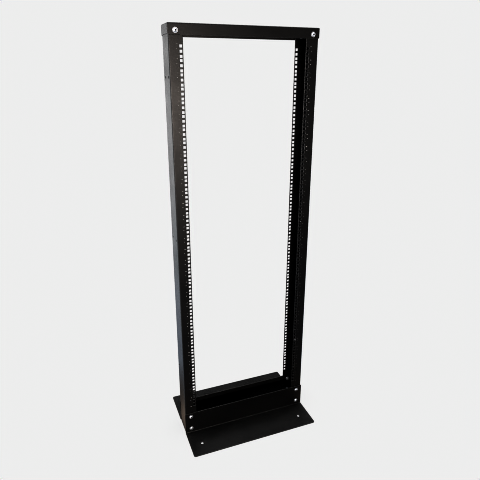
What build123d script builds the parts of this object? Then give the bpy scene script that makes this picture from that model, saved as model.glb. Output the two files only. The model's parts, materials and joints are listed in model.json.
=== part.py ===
from build123d import *
import math
import os

# Open two-post relay rack for 19-inch equipment, 32 units tall.
#
# Two C-section posts stand with their webs on the outside and their open sides facing each other.
# A folded cap ties their tops together. A front and a rear steel angle bolt across their feet, and
# the angles' horizontal plates are anchored to the floor. Each joint is a button-head bolt, a flat
# washer and a flange nut.
#
# Frame, in millimetres: X to the right, Y to the back and Z up. The origin is on the floor, halfway
# between the posts and at the middle of their depth, which is the centre of the floor anchor pattern.

# EIA-310 equipment pattern
UNIT_HEIGHT = 44.45
UNIT_COUNT = 32
HOLES_IN_UNIT = (6.35, 22.225, 38.1)  # hole centres above the bottom of their unit
HOLE_COLUMN_SPACING = 465.1
EQUIPMENT_OPENING = 450.0
SQUARE_HOLE = 9.5  # side of a cage-nut hole
LOWEST_UNIT_Z = 132.5

# Posts
RACK_HEIGHT = 1618.0
FLANGE_WIDTH = 48.5
POST_DEPTH = 87.0
SHEET = 2.0
BEND_INSIDE = 1.5  # inside bend radius of the 2 mm sheet
SHEET_EDGE_RADIUS = 0.7  # the coating rounds the sheet's cut edges
POST_FLOOR_GAP = 1.0  # the posts hang from the base angles, just clear of the floor

# Holes in the webs, in pairs, for joining racks side by side and for cable managers
WEB_HOLE_DIAMETER = 9.0
WEB_HOLE_SPACING = 50.0
WEB_HOLE_HEIGHTS = (300.0, 876.0, 1452.0)

# Top cap: a top plate with a skirt at the front and back and a shorter flap at each end
CAP_SKIRT_HEIGHT = 36.5
CAP_FLAP_HEIGHT = 32.0
CAP_CORNER_RADIUS = 6.0
CAP_BEND_GAP = 0.8  # open seam between a flap and the skirts beside it

# Base angles
BASE_PLATE = 3.0
BASE_BEND_INSIDE = 2.0
BASE_LEG_HEIGHT = 100.0
FRONT_FOOT_REACH = 139.0  # from the posts' front face to the foot's front edge
REAR_FOOT_REACH = 159.0
FOOT_CORNER_RADIUS = 8.0
LEG_CORNER_RADIUS = 3.0
PLATE_EDGE_RADIUS = 0.8
ANCHOR_HOLE_DIAMETER = 12.0
ANCHOR_SPACING_X = 450.0
ANCHOR_SPACING_Y = 245.0

# Bolted joints
BOLT_X = 250.0
BOLT_HOLE_DIAMETER = 9.0
CAP_BOLT_DROP = 22.5  # below the top of the rack
BASE_BOLT_HEIGHTS = (23.5, 82.5)

# M8 button-head bolt, flat washer and flange nut
THREAD_MAJOR_RADIUS = 4.0
THREAD_PITCH = 1.25
THREAD_DEPTH = 0.65
BOLT_LENGTH = 16.0
HEAD_RADIUS = 7.0
HEAD_HEIGHT = 4.4
HEAD_RIM = 0.7
HEAD_CROWN_RADIUS = 3.5
HEAD_BULGE = 0.62  # how far the head's curve swells out from its chord
SOCKET_ACROSS_FLATS = 5.0
SOCKET_DEPTH = 3.1
WASHER_RADIUS = 9.0
WASHER_BORE_RADIUS = 4.25
WASHER_THICKNESS = 1.6
WASHER_CHAMFER = 0.25
NUT_HEIGHT = 8.0
NUT_ACROSS_FLATS = 13.0
NUT_FLANGE_RADIUS = 8.9
NUT_FLANGE_RIM = 1.2
NUT_FLANGE_SLOPE = 1.6  # height of the cone between the flange's rim and the hexagon
NUT_TOP_CHAMFER = 0.7
NUT_BORE_RADIUS = THREAD_MAJOR_RADIUS + 0.05
SOCKET_TURN_STEP = 17.0  # each bolt stops at a different turn, in degrees

# Worked out from the sizes above
POST_OUTER_X = EQUIPMENT_OPENING / 2 + FLANGE_WIDTH
POST_TOP = RACK_HEIGHT - SHEET
FRAME_WIDTH = 2 * (POST_OUTER_X + SHEET)
CUT = 10.0  # extra length that takes a cutting tool clear of the sheet


def cross_cylinder(diameter, x, z):
    """A cutting cylinder along Y, right through the rack's depth."""
    return Pos(x, 0, z) * Rot(X=90) * Cylinder(diameter / 2, POST_DEPTH + 2 * CUT)


def hole_heights():
    """Heights of all the equipment holes, three in each unit."""
    units = [LOWEST_UNIT_Z + number * UNIT_HEIGHT for number in range(UNIT_COUNT)]
    return [bottom + offset for bottom in units for offset in HOLES_IN_UNIT]


def post_section():
    """The left post's C section: web at -X, open side towards +X."""
    outside = Rectangle(FLANGE_WIDTH, POST_DEPTH, align=(Align.MIN, Align.CENTER))
    outside = fillet(outside.vertices().sort_by(Axis.X)[:2], BEND_INSIDE + SHEET)
    hollow_depth = POST_DEPTH - 2 * SHEET
    hollow = Rectangle(FLANGE_WIDTH, hollow_depth, align=(Align.MIN, Align.CENTER))
    hollow = fillet(hollow.vertices().sort_by(Axis.X)[:2], BEND_INSIDE)
    section = outside - Pos(SHEET, 0) * hollow
    section = fillet(section.vertices().group_by(Axis.X)[-1], SHEET_EDGE_RADIUS)
    return Pos(-POST_OUTER_X, 0) * section


def make_left_post():
    """C-section post with its two columns of square holes, bolt holes and web holes."""
    height = POST_TOP - POST_FLOOR_GAP
    post = Pos(0, 0, POST_FLOOR_GAP) * extrude(post_section(), amount=height)
    square_cut = Box(SQUARE_HOLE, POST_DEPTH + 2 * CUT, SQUARE_HOLE)
    column_x = -HOLE_COLUMN_SPACING / 2
    cuts = [Pos(column_x, 0, z) * square_cut for z in hole_heights()]
    for z in (*BASE_BOLT_HEIGHTS, RACK_HEIGHT - CAP_BOLT_DROP):
        cuts.append(cross_cylinder(BOLT_HOLE_DIAMETER, -BOLT_X, z))
    web_cut = Rot(Y=90) * Cylinder(WEB_HOLE_DIAMETER / 2, 2 * CUT)
    for z in WEB_HOLE_HEIGHTS:
        for side in (-1, 1):
            cuts.append(Pos(-POST_OUTER_X, side * WEB_HOLE_SPACING / 2, z) * web_cut)
    return post - cuts


def make_top_cap():
    """Folded cap over both posts, with skirts at the front and back and a flap at each end."""
    depth = POST_DEPTH + 2 * SHEET
    block = Box(FRAME_WIDTH, depth, CAP_SKIRT_HEIGHT, align=(Align.CENTER, Align.CENTER, Align.MAX))
    top_edges = block.faces().sort_by(Axis.Z)[-1].edges()
    block = fillet(top_edges, BEND_INSIDE + SHEET)
    hollow = Box(
        FRAME_WIDTH - 2 * SHEET,
        POST_DEPTH,
        CAP_SKIRT_HEIGHT,
        align=(Align.CENTER, Align.CENTER, Align.MAX),
    )
    cap = block - Pos(0, 0, -SHEET) * hollow

    end_x = FRAME_WIDTH / 2 - SHEET / 2
    below_flap = Box(SHEET, POST_DEPTH, CUT, align=(Align.CENTER, Align.CENTER, Align.MAX))
    seam = Box(SHEET, CAP_BEND_GAP, CAP_SKIRT_HEIGHT, align=(Align.CENTER, Align.CENTER, Align.MAX))
    seam_y = (POST_DEPTH - CAP_BEND_GAP) / 2
    seam_top = -(SHEET + BEND_INSIDE)
    cuts = []
    for side in (-1, 1):
        cuts.append(Pos(side * end_x, 0, -CAP_FLAP_HEIGHT) * below_flap)
        cuts.append(Pos(side * end_x, -seam_y, seam_top) * seam)
        cuts.append(Pos(side * end_x, seam_y, seam_top) * seam)
    cap = cap - cuts

    lowest = cap.edges().filter_by(Axis.Y).group_by(Axis.Z)[0]
    corners = [edge for edge in lowest if abs(edge.center().X) > POST_OUTER_X]
    cap = fillet(corners, CAP_CORNER_RADIUS)
    cap = fillet(cap.edges().group_by(Axis.Z)[0], SHEET_EDGE_RADIUS)

    cap = Pos(0, 0, RACK_HEIGHT) * cap
    bolt_z = RACK_HEIGHT - CAP_BOLT_DROP
    return cap - [cross_cylinder(BOLT_HOLE_DIAMETER, x, bolt_z) for x in (-BOLT_X, BOLT_X)]


def make_base_angle(foot_reach):
    """Front base angle: leg flat against the posts' front flanges, foot reaching to -Y."""
    back_y = -POST_DEPTH / 2
    front_y = back_y - foot_reach
    leg_front_y = back_y - BASE_PLATE
    outline = Polyline(
        (back_y, 0),
        (back_y, BASE_LEG_HEIGHT),
        (leg_front_y, BASE_LEG_HEIGHT),
        (leg_front_y, BASE_PLATE),
        (front_y, BASE_PLATE),
        (front_y, 0),
        close=True,
    )
    section = make_face(outline)
    heel = section.vertices().sort_by_distance((back_y, 0, 0))[0]
    section = fillet(heel, BASE_BEND_INSIDE + BASE_PLATE)
    inside_corner = section.vertices().sort_by_distance((leg_front_y, BASE_PLATE, 0))[0]
    section = fillet(inside_corner, BASE_BEND_INSIDE)
    angle = extrude(Plane.YZ * section, amount=FRAME_WIDTH / 2, both=True)

    foot_corners = angle.edges().filter_by(Axis.Z).group_by(Axis.Y)[0]
    angle = fillet(foot_corners, FOOT_CORNER_RADIUS)
    leg_corners = angle.edges().filter_by(Axis.Y).group_by(Axis.Z)[-1]
    angle = fillet(leg_corners, LEG_CORNER_RADIUS)
    # Only the lines where the bend starts and ends run the full width. All other edges are rims.
    rims = [edge for edge in angle.edges() if edge.length < FRAME_WIDTH - LEG_CORNER_RADIUS]
    angle = fillet(rims, PLATE_EDGE_RADIUS)

    cuts = []
    for side in (-1, 1):
        for z in BASE_BOLT_HEIGHTS:
            cuts.append(cross_cylinder(BOLT_HOLE_DIAMETER, side * BOLT_X, z))
        anchor = Cylinder(ANCHOR_HOLE_DIAMETER / 2, 2 * CUT)
        cuts.append(Pos(side * ANCHOR_SPACING_X / 2, -ANCHOR_SPACING_Y / 2, 0) * anchor)
    return angle - cuts


def thread_outline():
    """Points down the outside of the shank: rings at the thread's pitch stand for its helix."""
    root_radius = THREAD_MAJOR_RADIUS - THREAD_DEPTH
    turns = int(BOLT_LENGTH / THREAD_PITCH)
    points = []
    for turn in range(turns):
        crest_z = -turn * THREAD_PITCH
        points.append((THREAD_MAJOR_RADIUS, crest_z))
        points.append((root_radius, crest_z - THREAD_PITCH / 2))
    points.append((THREAD_MAJOR_RADIUS, -turns * THREAD_PITCH))
    points.append((root_radius, -BOLT_LENGTH))
    return points


def make_bolt(turn):
    """Button-head bolt: seat of the head at z = 0, shank down -Z, socket turned by turn degrees."""
    rim = (HEAD_RADIUS, HEAD_RIM)
    crown = (HEAD_CROWN_RADIUS, HEAD_HEIGHT)
    chord = (crown[0] - rim[0], crown[1] - rim[1])
    length = math.hypot(*chord)
    swell = (chord[1] / length * HEAD_BULGE, -chord[0] / length * HEAD_BULGE)
    middle = (rim[0] + chord[0] / 2 + swell[0], rim[1] + chord[1] / 2 + swell[1])
    outline = Polyline((0, HEAD_HEIGHT), (0, -BOLT_LENGTH), *reversed(thread_outline()), (HEAD_RADIUS, 0), rim)
    outline += ThreePointArc(rim, middle, crown)
    outline += Line(crown, (0, HEAD_HEIGHT))
    bolt = revolve(Plane.XZ * make_face(outline), Axis.Z)
    hexagon = RegularPolygon(SOCKET_ACROSS_FLATS / 2, side_count=6, major_radius=False)
    socket = extrude(Rot(Z=turn) * hexagon, amount=SOCKET_DEPTH)
    return bolt - Pos(0, 0, HEAD_HEIGHT - SOCKET_DEPTH) * socket


def make_washer():
    """Flat washer standing on z = 0."""
    washer = Cylinder(WASHER_RADIUS, WASHER_THICKNESS, align=(Align.CENTER, Align.CENTER, Align.MIN))
    washer = chamfer(washer.edges(), WASHER_CHAMFER)
    return washer - Cylinder(WASHER_BORE_RADIUS, 2 * CUT)


def make_nut():
    """Flange nut: flange seat at z = 0, hexagon down -Z."""
    hexagon_corner = NUT_ACROSS_FLATS / math.sqrt(3)
    flats = RegularPolygon(NUT_ACROSS_FLATS / 2, side_count=6, major_radius=False)
    hexagon = extrude(flats, amount=-NUT_HEIGHT)
    chamfer_run = hexagon_corner - NUT_ACROSS_FLATS / 2 + NUT_TOP_CHAMFER
    envelope = Polyline(
        (0, 0),
        (hexagon_corner, 0),
        (hexagon_corner, NUT_TOP_CHAMFER - NUT_HEIGHT),
        (hexagon_corner - chamfer_run, -NUT_HEIGHT),
        (0, -NUT_HEIGHT),
        close=True,
    )
    hexagon = hexagon & revolve(Plane.XZ * make_face(envelope), Axis.Z)
    flange = Polyline(
        (0, 0),
        (NUT_FLANGE_RADIUS, 0),
        (NUT_FLANGE_RADIUS, -NUT_FLANGE_RIM),
        (NUT_ACROSS_FLATS / 2, -NUT_FLANGE_RIM - NUT_FLANGE_SLOPE),
        (0, -NUT_FLANGE_RIM - NUT_FLANGE_SLOPE),
        close=True,
    )
    nut = hexagon + revolve(Plane.XZ * make_face(flange), Axis.Z)
    return nut - Cylinder(NUT_BORE_RADIUS, 4 * NUT_HEIGHT)


def make_joint(name, face, side, heights, plate, turn):
    """The fasteners of one joint. face is -1 at the front and 1 at the back; side is -1 on the left."""
    flange_outside = POST_DEPTH / 2
    washer_seat = flange_outside + plate
    head_seat = washer_seat + WASHER_THICKNESS
    nut_seat = flange_outside - SHEET
    washer = make_washer()
    nut = make_nut()

    bolts = []
    washers = []
    nuts = []
    for number, z in enumerate(heights):
        def outward(distance):
            return Plane((side * BOLT_X, face * distance, z), x_dir=(1, 0, 0), z_dir=(0, face, 0))

        bolts.append(outward(head_seat) * make_bolt(turn + number * SOCKET_TURN_STEP))
        washers.append(outward(washer_seat) * washer)
        nuts.append(outward(nut_seat) * nut)
    ending = "s" if len(heights) > 1 else ""
    groups = {"bolt": bolts, "washer": washers, "flange_nut": nuts}
    return {f"{name}_{kind}{ending}": group for kind, group in groups.items()}


def make_rack():
    """All the rack's pieces by name. A node of identical fasteners is a list of solids."""
    left_post = make_left_post()
    pieces = {
        "left_post": [left_post],
        "right_post": [mirror(left_post, about=Plane.YZ)],
        "top_cap": [make_top_cap()],
        "front_base_angle": [make_base_angle(FRONT_FOOT_REACH)],
        "rear_base_angle": [mirror(make_base_angle(REAR_FOOT_REACH), about=Plane.XZ)],
    }
    turn = 0.0
    for face_name, face in (("front", -1), ("rear", 1)):
        for side_name, side in (("left", -1), ("right", 1)):
            place = f"{face_name}_{side_name}"
            cap_height = (RACK_HEIGHT - CAP_BOLT_DROP,)
            pieces.update(make_joint(f"cap_{place}", face, side, cap_height, SHEET, turn))
            turn += SOCKET_TURN_STEP
            pieces.update(make_joint(f"base_{place}", face, side, BASE_BOLT_HEIGHTS, BASE_PLATE, turn))
            turn += 2 * SOCKET_TURN_STEP
    return pieces


os.makedirs("parts", exist_ok=True)
for node, solids in make_rack().items():
    shape = solids[0] if len(solids) == 1 else Compound(solids)
    export_step(shape, f"parts/{node}.step")
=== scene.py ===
import json
import math

import bmesh
import bpy
from mathutils import Matrix, Vector


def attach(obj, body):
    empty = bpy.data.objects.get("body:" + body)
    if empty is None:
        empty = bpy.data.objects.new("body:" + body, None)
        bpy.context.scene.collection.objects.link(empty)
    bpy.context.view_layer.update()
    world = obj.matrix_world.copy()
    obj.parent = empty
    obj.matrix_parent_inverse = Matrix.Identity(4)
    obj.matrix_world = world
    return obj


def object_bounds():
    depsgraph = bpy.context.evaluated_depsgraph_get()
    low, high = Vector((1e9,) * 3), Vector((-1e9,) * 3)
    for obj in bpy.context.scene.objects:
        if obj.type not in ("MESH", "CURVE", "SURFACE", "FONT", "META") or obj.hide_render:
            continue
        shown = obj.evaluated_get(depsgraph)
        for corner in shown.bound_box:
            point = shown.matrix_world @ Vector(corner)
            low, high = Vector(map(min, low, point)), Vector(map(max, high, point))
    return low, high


# Looks, studio and camera for an open two-post relay rack. All sizes are in metres and all angles in
# degrees. The frame is the CAD's: X to the rack's right, Y to its back, Z up, with the origin on the
# floor at the middle of the rack.

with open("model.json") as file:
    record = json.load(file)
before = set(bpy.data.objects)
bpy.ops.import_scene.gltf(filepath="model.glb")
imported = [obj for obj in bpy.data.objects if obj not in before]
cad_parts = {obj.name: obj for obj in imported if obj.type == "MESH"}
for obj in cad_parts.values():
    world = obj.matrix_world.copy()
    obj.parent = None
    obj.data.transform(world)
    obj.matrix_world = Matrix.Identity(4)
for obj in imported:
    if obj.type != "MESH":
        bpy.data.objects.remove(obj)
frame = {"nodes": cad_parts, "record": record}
cad_low, cad_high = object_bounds()

MM = 0.001

# Camera
CAMERA_PLACE = Vector((-0.6197, -1.5868, 1.4617))
CAMERA_YAW = 20.77  # turned from +Y towards +X
CAMERA_PITCH = -18.78
CAMERA_ROLL = -0.02
CAMERA_LENS_MM = 34.06
CAMERA_SHIFT = (0.0038, -0.0235)
PIXEL_FILTER = 1.0  # how many pixels wide each one is sampled

# Printed unit marks on the front flanges, outside the hole columns
UNIT = 44.45 * MM
UNIT_COUNT = 32
UNITS_BELOW_MOUNT = 16  # whole units under the one that the record's equipment mounts are given in
LINE_SIZE = (5.0 * MM, 0.5 * MM)  # a line at each unit's boundary
LINE_FROM_HOLES = 13.5 * MM  # from the hole column's centre to the middle of the line
DASH_SIZE = (2.5 * MM, 0.8 * MM)  # a shorter dash inside each unit
DASH_FROM_HOLES = 15.0 * MM
DASH_DROP = 14.4 * MM  # below the unit's top
PRINT_THICKNESS = 0.06 * MM
PRINT_CORNER = 0.2 * MM
PRINT_LIT_AND_SHADED_HEIGHTS = (0.95, 1.15)  # heights between which the print's painted light and shade changes its tone
PRINT_LIT_AND_SHADED_TONES = {"left": (0.90, 0.28), "right": (0.28, 0.72)}  # painted tone below and above those heights, a differently lit and shaded copy for each side
PRINT_THIN = (0.030, 0.030, 0.030)  # where the black shows through
PRINT_THIN_STRENGTH = 0.7
PRINT_WEAR_SCALE = 1400.0  # every scale is the number of features in a metre
PRINT_WEAR_RANGE = (0.52, 0.72)  # where in the noise the wear starts and is full
PRINT_ROUGHNESS = 0.55
PRINT_DEPTH = PRINT_THICKNESS / 3  # how deep the thin places are
PRINT_DEPTH_STRENGTH = 0.3

# Black powder coat on the sheets
COAT_PEEL_SCALE = 620.0
COAT_GRAIN_SCALE = 1900.0
COAT_CLOUD_SCALE = 9.0
COAT_SPECK_SCALE = 420.0
COAT_ROUNDING = 2.4 * MM  # how far the coat rounds off the sheets' edges
COAT_DARK = (0.0060, 0.0060, 0.0060)
COAT_LIGHT = (0.0100, 0.0100, 0.0100)
# Paler sheet edges: the coat is thinner there, and a painted highlight is laid along them as well
COAT_THIN_EDGE_AND_HIGHLIGHT = (0.120, 0.120, 0.124)
COAT_THIN_EDGE_AND_HIGHLIGHT_STRENGTH = 0.5
COAT_DUST = (0.110, 0.105, 0.100)
COAT_DUST_LEVEL = (0.6, 0.95)  # how far a face has to look upwards for dust to start and to lie fully
COAT_DUST_SPECKS = 0.35  # the most dust in a speck
COAT_DUST_FILM = 0.04  # and in the film between the specks
COAT_SPECK_RANGE = (0.58, 0.80)  # where in the noise they start and are full
COAT_FILM_RANGE = (0.35, 0.75)
COAT_ROUGHNESS = (0.37, 0.45)
COAT_GRAIN_ROUGHNESS = 0.03  # how much the fine grain adds or takes away
COAT_DUST_ROUGHNESS = 0.6  # how much full dust adds
COAT_PEEL_DEPTH = 0.10 * MM
COAT_PEEL_STRENGTH = 0.55

# Zinc plating on the bolts, washers and nuts
ZINC_CLOUD_SCALE = 160.0
ZINC_CLOUD_RANGE = (0.35, 0.65)  # where in the noise the tint is all blue and all straw
ZINC_SPANGLE_SCALE = 1100.0
ZINC_GRAIN_SCALE = 3200.0
ZINC_BLUE = (0.36, 0.39, 0.43)
ZINC_STRAW = (0.41, 0.41, 0.41)
ZINC_SPANGLE = (0.30, 0.30, 0.30)
ZINC_SPANGLE_STRENGTH = 0.25
# Painted shade: a dark colour laid into recesses such as the bolts' sockets
ZINC_PAINTED_SHADE = (0.020, 0.020, 0.021)
ZINC_PAINTED_SHADE_REACH = 4.0 * MM  # how far away the walls of a recess may be
ZINC_PAINTED_SHADE_OPENNESS = (0.85, 0.45)  # where the painted shade in a recess starts and is full
ZINC_ROUGHNESS = (0.50, 0.62)
ZINC_SPANGLE_ROUGHNESS = (-0.03, 0.05)  # what the spangle adds or takes away
ZINC_SKIN_DEPTH = 0.03 * MM
ZINC_SKIN_STRENGTH = 0.25

# Sampling inside the materials
NOISE_RANGE = (0.3, 0.7)  # nearly all of a noise texture's values lie between these
EDGE_SAMPLES = 8
EDGE_AGREEMENT = (0.995, 0.80)  # how far a rounded direction keeps to a flat face's and to an edge's
RECESS_SAMPLES = 8
FLOOR_SAMPLES = 16

# Brightness of the picture's background, as the share of white that it shows. The floor has the same
# tone. The view transform is Raw, so all the light in this scene is in shown tones: a thin edge or a
# small hole then changes the tone in proportion to its size.
BACKDROP = (0.930, 0.930, 0.930)
BLACK_LEVEL = 0.016  # light below this shows as black

FLOOR_REACH = 40.0  # from the rack's middle to the floor's edges
# A painted contact shadow on the floor round the rack, seen by the camera
CONTACT_REACH = 0.10  # how near the rack has to be for the painted shadow on the floor
CONTACT_OPENNESS = (0.3, 1.0)  # where that shade is full and where it ends
CONTACT_SHADE = 0.95  # the floor's brightness in full painted shadow

# The two soft boxes. The panel faces straight back, and the key faces the middle of the rack.
PANEL_PLACE = (-0.6, -4.0, 1.05)
PANEL_TARGET = (PANEL_PLACE[0], 0.0, PANEL_PLACE[2])
PANEL_SIZE = (2.4, 0.34)
PANEL_RADIANCE = 108.0
PANEL_COLOUR = (1.0, 0.92, 0.86)
KEY_PLACE = (-2.2, -2.2, 2.6)
KEY_SIZE = (1.0, 1.0)
KEY_RADIANCE = 3.0
KEY_COLOUR = (1.0, 1.0, 1.0)

# What the rack sees round it at eye level: (azimuth, brightness). Azimuth 0 is in front of the rack,
# 90 on its right, 180 behind it and -90 on its left.
STUDIO_AROUND = (
    (-180, 2.95),
    (-150, 2.70),
    (-125, 3.20),
    (-90, 5.00),
    (-60, 4.60),
    (-30, 3.60),
    (-10, 3.00),
    (5, 1.50),
    (18, 0.50),
    (30, 0.10),
    (40, 0.15),
    (50, 1.50),
    (75, 3.50),
    (100, 5.00),
    (125, 3.00),
    (142, 1.00),
    (150, 1.00),
    (160, 1.70),
    (172, 2.80),
    (180, 2.95),
)
# How that changes with the height above the horizon: (elevation, share)
STUDIO_UPWARDS = (
    (0, 1.00),
    (8, 0.90),
    (16, 0.50),
    (26, 0.22),
    (40, 0.03),
    (48, 1.00),
    (56, 2.20),
    (70, 2.20),
    (90, 1.00),
)
# For everything but the camera the floor glows with painted light and shade, in place of the light that
# it would throw back
# The brightness of the floor in each direction from the rack: (azimuth, brightness)
FLOOR_AROUND = (
    (-180, 3.40),
    (-155, 3.40),
    (-122, 2.70),
    (-105, 7.00),
    (-85, 9.00),
    (-60, 4.50),
    (-35, 2.20),
    (-10, 1.10),
    (5, 0.55),
    (18, 0.26),
    (32, 0.05),
    (42, 0.15),
    (52, 0.70),
    (72, 3.00),
    (85, 9.00),
    (110, 9.50),
    (135, 7.00),
    (160, 3.20),
    (180, 3.40),
)
# How that changes across the floor: (distance from the rack's middle, share of it for each colour).
# The first stretch is painted shade between the base angles.
FLOOR_GLOW = (
    (0.00, (0.040, 0.040, 0.040)),
    (0.27, (0.040, 0.040, 0.040)),
    (0.29, (0.200, 0.173, 0.150)),
    (0.345, (0.250, 0.215, 0.185)),
    (0.405, (0.205, 0.175, 0.150)),
    (0.50, (0.225, 0.222, 0.225)),
    (0.61, (0.410, 0.448, 0.500)),
    (0.85, (0.440, 0.480, 0.540)),
    (1.10, (0.500, 0.530, 0.580)),
    (2.30, (0.600, 0.620, 0.640)),
    (3.50, (0.790, 0.800, 0.820)),
    (5.00, (0.900, 0.900, 0.910)),
)


# ---------------------------------------------------------------- node trees


class Nodes:
    """Short calls for building one node tree."""

    def __init__(self, tree):
        self.tree = tree
        self.tree.nodes.clear()

    def add(self, kind, inputs=None, **settings):
        """Adds a node. An input is a number, a colour or another node's output."""
        node = self.tree.nodes.new(kind)
        for name, value in settings.items():
            setattr(node, name, value)
        for name, value in (inputs or {}).items():
            if isinstance(value, bpy.types.NodeSocket):
                self.tree.links.new(value, node.inputs[name])
            else:
                node.inputs[name].default_value = value
        return node

    def math(self, operation, first, second=0.0, clamp=False):
        inputs = {0: first, 1: second}
        return self.add("ShaderNodeMath", inputs, operation=operation, use_clamp=clamp).outputs[0]

    def noise(self, place, per_metre, detail=2.0, roughness=0.5):
        inputs = {"Vector": place, "Scale": per_metre, "Detail": detail, "Roughness": roughness}
        return self.add("ShaderNodeTexNoise", inputs).outputs["Fac"]

    def spread(self, value, low, high, to_low=0.0, to_high=1.0):
        """Maps low..high to to_low..to_high, held at both ends."""
        inputs = {0: value, 1: low, 2: high, 3: to_low, 4: to_high}
        return self.add("ShaderNodeMapRange", inputs).outputs[0]

    def blend(self, share, first, second):
        """A colour from first to second as share goes from 0 to 1."""
        inputs = {0: share, 6: first, 7: second}
        return self.add("ShaderNodeMix", inputs, data_type="RGBA").outputs[2]

    def ramp(self, value, stops, low, high):
        """A colour ramp. stops holds (place, colour) pairs, with places between low and high."""
        share = self.spread(value, low, high)
        node = self.add("ShaderNodeValToRGB", {"Fac": share})
        elements = node.color_ramp.elements
        elements[0].color = stops[0][1]
        elements[1].color = stops[-1][1]
        for place, colour in stops[1:-1]:
            elements.new((place - low) / (high - low)).color = colour
        return node.outputs["Color"]

    def bump(self, height, strength, depth, inputs=None, **settings):
        """The surface's direction with a fine relief of this height added."""
        relief = {"Height": height, "Strength": strength, "Distance": depth, **(inputs or {})}
        return self.add("ShaderNodeBump", relief, **settings).outputs["Normal"]

    def finish_surface(self, inputs):
        """Ends the tree with a surface that has these inputs."""
        surface = self.add("ShaderNodeBsdfPrincipled", inputs)
        self.add("ShaderNodeOutputMaterial", {"Surface": surface.outputs[0]})


def grey(level):
    return (level, level, level, 1.0)


def opaque(colour):
    return (*colour, 1.0)


def new_material(name):
    """An empty material and the nodes to fill it with."""
    material = bpy.data.materials.new(name)
    material.use_nodes = True
    return material, Nodes(material.node_tree)


def brightness_around(nodes, towards, around):
    """The brightness that around gives for the direction of a vector from the rack."""
    parts = nodes.add("ShaderNodeSeparateXYZ", {0: towards}).outputs
    forward = nodes.math("MULTIPLY", parts["Y"], -1.0)
    azimuth = nodes.math("DEGREES", nodes.math("ARCTAN2", parts["X"], forward))
    return nodes.ramp(azimuth, [(place, grey(level)) for place, level in around], -180, 180)


def rounded_edges(nodes, radius):
    """The surface's direction with its sharp edges rounded off."""
    return nodes.add("ShaderNodeBevel", {"Radius": radius}, samples=EDGE_SAMPLES).outputs["Normal"]


def edge_share(nodes, rounded):
    """1 on sharp edges and 0 on flat faces, from how far rounding the edges turns the surface."""
    true_normal = nodes.add("ShaderNodeNewGeometry").outputs["Normal"]
    inputs = {0: rounded, 1: true_normal}
    agreement = nodes.add("ShaderNodeVectorMath", inputs, operation="DOT_PRODUCT").outputs["Value"]
    return nodes.spread(agreement, *EDGE_AGREEMENT)


def nearby_openness(nodes, reach, samples):
    """1 in the open, and less where there are other surfaces within reach."""
    return nodes.add("ShaderNodeAmbientOcclusion", {"Distance": reach}, samples=samples).outputs["AO"]


# ---------------------------------------------------------------- materials


def dust_share(nodes, place, cloud):
    """How much dust lies on a face: specks and a thin film, on level faces only."""
    facing = nodes.add("ShaderNodeNewGeometry").outputs["Normal"]
    upwards = nodes.add("ShaderNodeSeparateXYZ", {0: facing}).outputs["Z"]
    level = nodes.spread(upwards, *COAT_DUST_LEVEL)
    specks = nodes.noise(place, COAT_SPECK_SCALE, detail=3.0, roughness=0.7)
    specks = nodes.spread(specks, *COAT_SPECK_RANGE)
    specks = nodes.math("MULTIPLY", specks, COAT_DUST_SPECKS)
    film = nodes.spread(cloud, *COAT_FILM_RANGE, 0.0, COAT_DUST_FILM)
    return nodes.math("MULTIPLY", level, nodes.math("ADD", specks, film))


def black_powder_coat():
    """Satin black powder coat: orange-peel skin, cloudy gloss, paler edges from a thinner coat and a
    painted highlight, and a little dust.
    """
    material, nodes = new_material("black_powder_coat")
    place = nodes.add("ShaderNodeTexCoord").outputs["Object"]
    peel = nodes.noise(place, COAT_PEEL_SCALE, detail=2.0)
    grain = nodes.noise(place, COAT_GRAIN_SCALE, detail=1.0)
    cloud = nodes.noise(place, COAT_CLOUD_SCALE, detail=4.0, roughness=0.6)
    rounded = rounded_edges(nodes, COAT_ROUNDING)
    edge = edge_share(nodes, rounded)

    colour = nodes.blend(nodes.spread(peel, *NOISE_RANGE), opaque(COAT_DARK), opaque(COAT_LIGHT))
    # Paler edges: thinner coat, plus a painted highlight along every sharp edge
    colour = nodes.blend(nodes.math("MULTIPLY", edge, COAT_THIN_EDGE_AND_HIGHLIGHT_STRENGTH), colour, opaque(COAT_THIN_EDGE_AND_HIGHLIGHT))

    dust = dust_share(nodes, place, cloud)
    colour = nodes.blend(dust, colour, opaque(COAT_DUST))

    roughness = nodes.spread(cloud, *NOISE_RANGE, *COAT_ROUGHNESS)
    uneven = nodes.spread(grain, *NOISE_RANGE, -COAT_GRAIN_ROUGHNESS, COAT_GRAIN_ROUGHNESS)
    roughness = nodes.math("ADD", roughness, uneven)
    dusty = nodes.math("MULTIPLY", dust, COAT_DUST_ROUGHNESS)
    roughness = nodes.math("ADD", roughness, dusty, clamp=True)

    skin = nodes.math("ADD", peel, nodes.math("MULTIPLY", grain, 0.3))
    bump = nodes.bump(skin, COAT_PEEL_STRENGTH, COAT_PEEL_DEPTH, {"Normal": rounded})
    nodes.finish_surface({"Base Color": colour, "Roughness": roughness, "IOR": 1.5, "Normal": bump})
    return material


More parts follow.
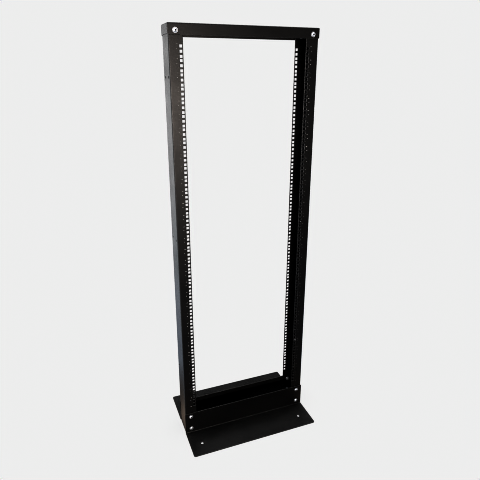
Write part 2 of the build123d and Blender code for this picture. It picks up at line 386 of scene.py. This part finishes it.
def zinc_plating():
    """Dull zinc plate: bluish and straw tints in clouds, fine spangle and painted shade in recesses."""
    material, nodes = new_material("zinc_plated_steel")
    place = nodes.add("ShaderNodeTexCoord").outputs["Object"]
    cloud = nodes.noise(place, ZINC_CLOUD_SCALE, detail=3.0, roughness=0.6)
    cells = nodes.add("ShaderNodeTexVoronoi", {"Vector": place, "Scale": ZINC_SPANGLE_SCALE})
    spangle = nodes.add("ShaderNodeRGBToBW", {0: cells.outputs["Color"]}).outputs[0]
    grain = nodes.noise(place, ZINC_GRAIN_SCALE, detail=2.0)
    openness = nearby_openness(nodes, ZINC_PAINTED_SHADE_REACH, RECESS_SAMPLES)

    tint = nodes.blend(nodes.spread(cloud, *ZINC_CLOUD_RANGE), opaque(ZINC_BLUE), opaque(ZINC_STRAW))
    spangled = nodes.math("MULTIPLY", spangle, ZINC_SPANGLE_STRENGTH)
    tint = nodes.blend(spangled, tint, opaque(ZINC_SPANGLE))
    # Painted shade in recesses
    tint = nodes.blend(nodes.spread(openness, *ZINC_PAINTED_SHADE_OPENNESS), tint, opaque(ZINC_PAINTED_SHADE))

    roughness = nodes.spread(cloud, *NOISE_RANGE, *ZINC_ROUGHNESS)
    uneven = nodes.spread(spangle, 0.0, 1.0, *ZINC_SPANGLE_ROUGHNESS)
    roughness = nodes.math("ADD", roughness, uneven)
    skin = nodes.math("ADD", nodes.math("MULTIPLY", spangle, 0.4), grain)
    bump = nodes.bump(skin, ZINC_SKIN_STRENGTH, ZINC_SKIN_DEPTH)
    nodes.finish_surface({"Base Color": tint, "Metallic": 1.0, "Roughness": roughness, "Normal": bump})
    return material


def print_with_painted_light(side, painted_tone_below, painted_tone_above):
    """Screen-printed off-white paint, thinner in places so that some black shows through, with painted
    light and shade that change its tone with height.
    """
    material, nodes = new_material(f"{side}_print_with_painted_light")
    place = nodes.add("ShaderNodeTexCoord").outputs["Object"]
    height = nodes.add("ShaderNodeSeparateXYZ", {0: place}).outputs["Z"]
    # Painted light and shade: the print's tone changes with height, in opposite ways on the two posts
    paint = nodes.blend(nodes.spread(height, *PRINT_LIT_AND_SHADED_HEIGHTS), grey(painted_tone_below), grey(painted_tone_above))
    wear = nodes.noise(place, PRINT_WEAR_SCALE, detail=3.0, roughness=0.7)
    thin = nodes.spread(wear, *PRINT_WEAR_RANGE)
    worn = nodes.math("MULTIPLY", thin, PRINT_THIN_STRENGTH)
    colour = nodes.blend(worn, paint, opaque(PRINT_THIN))
    bump = nodes.bump(thin, PRINT_DEPTH_STRENGTH, PRINT_DEPTH, invert=True)
    nodes.finish_surface({"Base Color": colour, "Roughness": PRINT_ROUGHNESS, "Normal": bump})
    return material


def floor_material():
    """A pale floor: even for the camera but for a painted contact shadow near the rack, and for what
    the rack reflects a glow of painted light, darker near the rack.
    """
    material, nodes = new_material("pale_floor")
    openness = nearby_openness(nodes, CONTACT_REACH, FLOOR_SAMPLES)
    shade = nodes.spread(openness, *CONTACT_OPENNESS, CONTACT_SHADE, 1.0)
    seen = nodes.add("ShaderNodeEmission", {"Color": opaque(BACKDROP), "Strength": shade})

    position = nodes.add("ShaderNodeNewGeometry").outputs["Position"]
    distance = nodes.add("ShaderNodeVectorMath", {0: position}, operation="LENGTH").outputs["Value"]
    stops = [(place, opaque(colour)) for place, colour in FLOOR_GLOW]
    glow = nodes.ramp(distance, stops, 0.0, FLOOR_GLOW[-1][0])
    around = brightness_around(nodes, position, FLOOR_AROUND)
    # Painted light: the floor glows in place of the light that it would throw back
    painted_floor_glow = nodes.add("ShaderNodeEmission", {"Color": glow, "Strength": around})

    camera_ray = nodes.add("ShaderNodeLightPath").outputs["Is Camera Ray"]
    mix = nodes.add("ShaderNodeMixShader", {0: camera_ray, 1: painted_floor_glow.outputs[0], 2: seen.outputs[0]})
    nodes.add("ShaderNodeOutputMaterial", {"Surface": mix.outputs[0]})
    return material


def paint_cad_nodes():
    """Gives each CAD node the material of its slot in the record."""
    finishes = {"black_powder_coat": black_powder_coat(), "zinc_plated_steel": zinc_plating()}
    for part in frame["record"]["subparts"]:
        for slot in frame["nodes"][part["node"]].material_slots:
            slot.material = finishes[part["material_slot"]]


# ---------------------------------------------------------------- printed unit marks


def equipment_holes(side):
    """Where the record puts the middle of one front hole column."""
    name = f"front_{side}_equipment_holes"
    mount = next(mount for mount in frame["record"]["mounts"] if mount["name"] == name)
    return Vector(mount["pos_m"])


def add_patch(mesh, centre, size):
    """A thin patch of print facing the front, with its corners cut off."""
    half_width = size[0] / 2
    half_height = size[1] / 2
    outline = []
    for sign_x, sign_z in ((-1, -1), (1, -1), (1, 1), (-1, 1)):
        on_level_edge = (sign_x * (half_width - PRINT_CORNER), sign_z * half_height)
        on_upright_edge = (sign_x * half_width, sign_z * (half_height - PRINT_CORNER))
        if sign_x == sign_z:
            outline.extend((on_upright_edge, on_level_edge))
        else:
            outline.extend((on_level_edge, on_upright_edge))
    rings = []
    for depth in (0.0, PRINT_THICKNESS):
        points = [centre + Vector((x, -depth, z)) for x, z in outline]
        rings.append([mesh.verts.new(point) for point in points])
    back, front = rings
    mesh.faces.new(front)
    mesh.faces.new(reversed(back))
    for number in range(len(outline)):
        after = (number + 1) % len(outline)
        mesh.faces.new((back[number], back[after], front[after], front[number]))


def unit_marks(side, outward, material):
    """All the printed marks of one post as one piece. outward is -1 on the left and 1 on the right."""
    middle_hole = equipment_holes(side)
    lowest_unit = middle_hole.z - UNIT / 2 - UNITS_BELOW_MOUNT * UNIT
    mesh = bmesh.new()
    for number in range(UNIT_COUNT + 1):
        boundary = lowest_unit + number * UNIT
        x = middle_hole.x + outward * LINE_FROM_HOLES
        add_patch(mesh, Vector((x, middle_hole.y, boundary)), LINE_SIZE)
        if number > 0:
            x = middle_hole.x + outward * DASH_FROM_HOLES
            add_patch(mesh, Vector((x, middle_hole.y, boundary - DASH_DROP)), DASH_SIZE)
    bmesh.ops.recalc_face_normals(mesh, faces=mesh.faces)
    data = bpy.data.meshes.new(f"{side}_post_unit_marks")
    mesh.to_mesh(data)
    mesh.free()
    data.materials.append(material)
    piece = bpy.data.objects.new(data.name, data)
    bpy.context.scene.collection.objects.link(piece)
    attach(piece, "root")


# ---------------------------------------------------------------- studio


def make_floor():
    """One large square for the floor."""
    data = bpy.data.meshes.new("floor")
    corners = [(x * FLOOR_REACH, y * FLOOR_REACH, 0) for x, y in ((-1, -1), (1, -1), (1, 1), (-1, 1))]
    data.from_pydata(corners, [], [(0, 1, 2, 3)])
    data.materials.append(floor_material())
    floor = bpy.data.objects.new("floor", data)
    bpy.context.scene.collection.objects.link(floor)


def make_world():
    """The backdrop for the camera, and soft studio surroundings for everything else."""
    world = bpy.data.worlds.new("studio")
    world.use_nodes = True
    bpy.context.scene.world = world
    nodes = Nodes(world.node_tree)
    direction = nodes.add("ShaderNodeTexCoord").outputs["Generated"]
    height = nodes.add("ShaderNodeSeparateXYZ", {0: direction}).outputs["Z"]
    elevation = nodes.math("DEGREES", nodes.math("ARCSINE", height))
    around = brightness_around(nodes, direction, STUDIO_AROUND)
    upwards = nodes.ramp(elevation, [(place, grey(level)) for place, level in STUDIO_UPWARDS], 0, 90)
    lit = nodes.add("ShaderNodeBackground", {"Color": around, "Strength": upwards})
    seen = nodes.add("ShaderNodeBackground", {"Color": opaque(BACKDROP)})
    camera_ray = nodes.add("ShaderNodeLightPath").outputs["Is Camera Ray"]
    mix = nodes.add("ShaderNodeMixShader", {0: camera_ray, 1: lit.outputs[0], 2: seen.outputs[0]})
    nodes.add("ShaderNodeOutputWorld", {"Surface": mix.outputs[0]})


def soft_light(name, place, target, size, radiance, colour):
    """A rectangular soft box at place, facing target. size is its width and height."""
    data = bpy.data.lights.new(name, "AREA")
    data.shape = "RECTANGLE"
    data.size, data.size_y = size
    data.energy = radiance * math.pi * size[0] * size[1]
    data.color = colour
    light = bpy.data.objects.new(name, data)
    light.location = place
    light.rotation_euler = (Vector(target) - Vector(place)).to_track_quat("-Z", "Y").to_euler()
    bpy.context.scene.collection.objects.link(light)


def make_lights():
    """A wide panel in front, for the soft glow on the upper posts, and a weak key from the left."""
    soft_light("front_panel", PANEL_PLACE, PANEL_TARGET, PANEL_SIZE, PANEL_RADIANCE, PANEL_COLOUR)
    rack_middle = (cad_low + cad_high) / 2
    soft_light("key", KEY_PLACE, rack_middle, KEY_SIZE, KEY_RADIANCE, KEY_COLOUR)


def make_camera():
    """A camera in front of the rack, to its left and near its top, looking slightly down."""
    data = bpy.data.cameras.new("camera")
    data.lens = CAMERA_LENS_MM
    data.shift_x, data.shift_y = CAMERA_SHIFT
    camera = bpy.data.objects.new("camera", data)
    turn = Matrix.Rotation(math.radians(-CAMERA_YAW), 4, "Z")
    tilt = Matrix.Rotation(math.radians(90 + CAMERA_PITCH), 4, "X")
    roll = Matrix.Rotation(math.radians(CAMERA_ROLL), 4, "Z")
    camera.matrix_world = Matrix.Translation(CAMERA_PLACE) @ turn @ tilt @ roll
    bpy.context.scene.collection.objects.link(camera)
    bpy.context.scene.camera = camera


def set_tones():
    """Shows the scene's light as it is, apart from the deepest blacks, in crisp pixels."""
    scene = bpy.context.scene
    scene.view_settings.view_transform = "Raw"
    scene.view_settings.use_curve_mapping = True
    scene.view_settings.curve_mapping.black_level = (BLACK_LEVEL, BLACK_LEVEL, BLACK_LEVEL)
    scene.view_settings.curve_mapping.update()
    scene.cycles.filter_width = PIXEL_FILTER


paint_cad_nodes()
for side, outward in (("left", -1), ("right", 1)):
    unit_marks(side, outward, print_with_painted_light(side, *PRINT_LIT_AND_SHADED_TONES[side]))

make_floor()
make_world()
make_lights()
make_camera()
set_tones()
